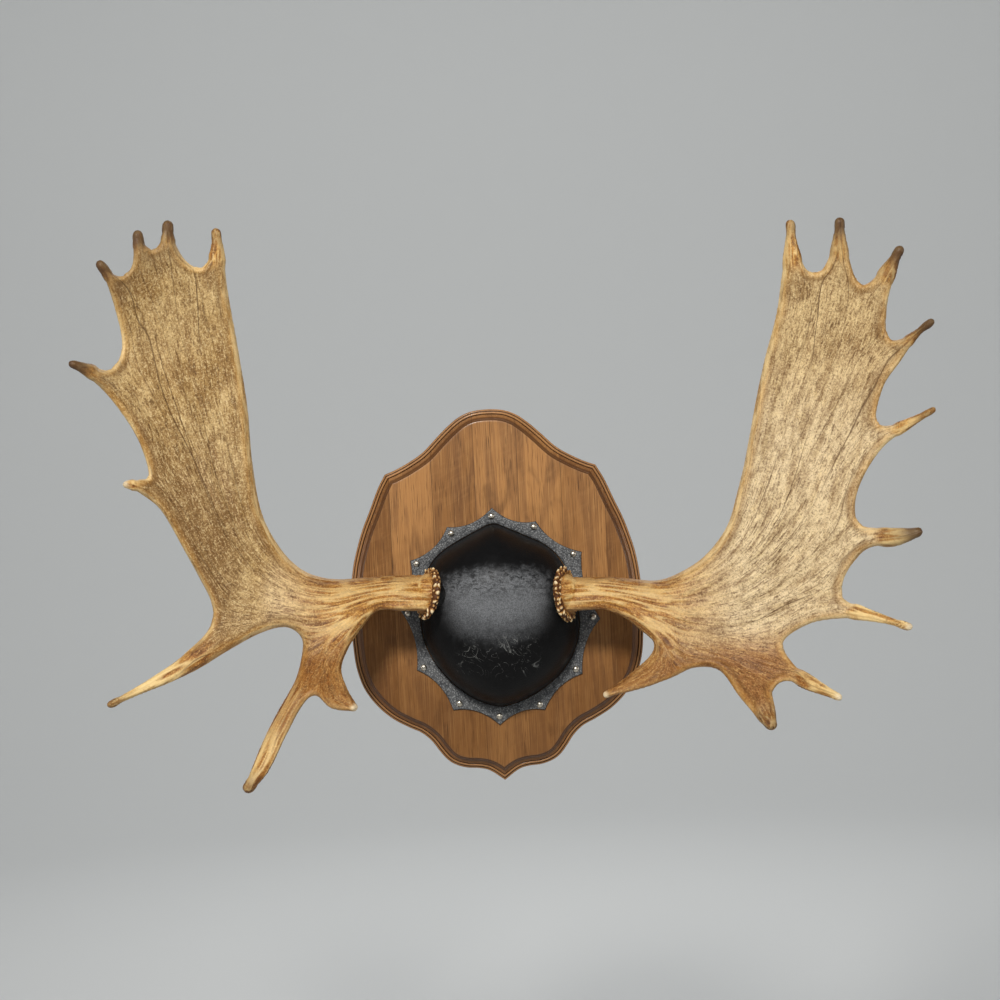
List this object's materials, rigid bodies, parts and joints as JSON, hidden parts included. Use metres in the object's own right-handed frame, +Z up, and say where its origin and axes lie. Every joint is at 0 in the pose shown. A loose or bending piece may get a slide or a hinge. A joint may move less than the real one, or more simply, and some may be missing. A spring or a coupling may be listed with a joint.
{
  "type": "moose antler plaque mount",
  "caption": "Pair of palmate moose antlers fixed to a walnut shield plaque, with a black leather cap, a scalloped leather trim and domed tacks.",
  "frame": {"origin": "centre of the plaque's flat back face, on the wall plane", "axes": "+Z up, +Y into the wall, +X to the viewer's right; the antlers stand out towards -Y"},
  "size_m": [0.9365, 0.2565, 0.6708],
  "materials": {
    "walnut": "satin oiled walnut with a vertical grain",
    "black_leather": "fine-grained black leather with a dusty sheen",
    "grey_leather": "slate-grey pebbled leather with dark cut edges",
    "tack_metal": "satin nickel",
    "antler": "bare antler bone, golden tan, ridged along the grain"
  },
  "bodies": {
    "root": {"plaque": "walnut", "leather_cap": "black_leather", "leather_trim": "grey_leather", "tack_01": "tack_metal", "tack_02": "tack_metal", "tack_03": "tack_metal", "tack_04": "tack_metal", "tack_05": "tack_metal", "tack_06": "tack_metal", "tack_07": "tack_metal", "tack_08": "tack_metal", "tack_09": "tack_metal", "tack_10": "tack_metal", "tack_11": "tack_metal", "tack_12": "tack_metal", "antler_left_beam": "antler", "antler_left_palm": "antler", "antler_left_brow": "antler", "antler_right_beam": "antler", "antler_right_palm": "antler", "antler_right_brow": "antler"}
  },
  "joints": []
}
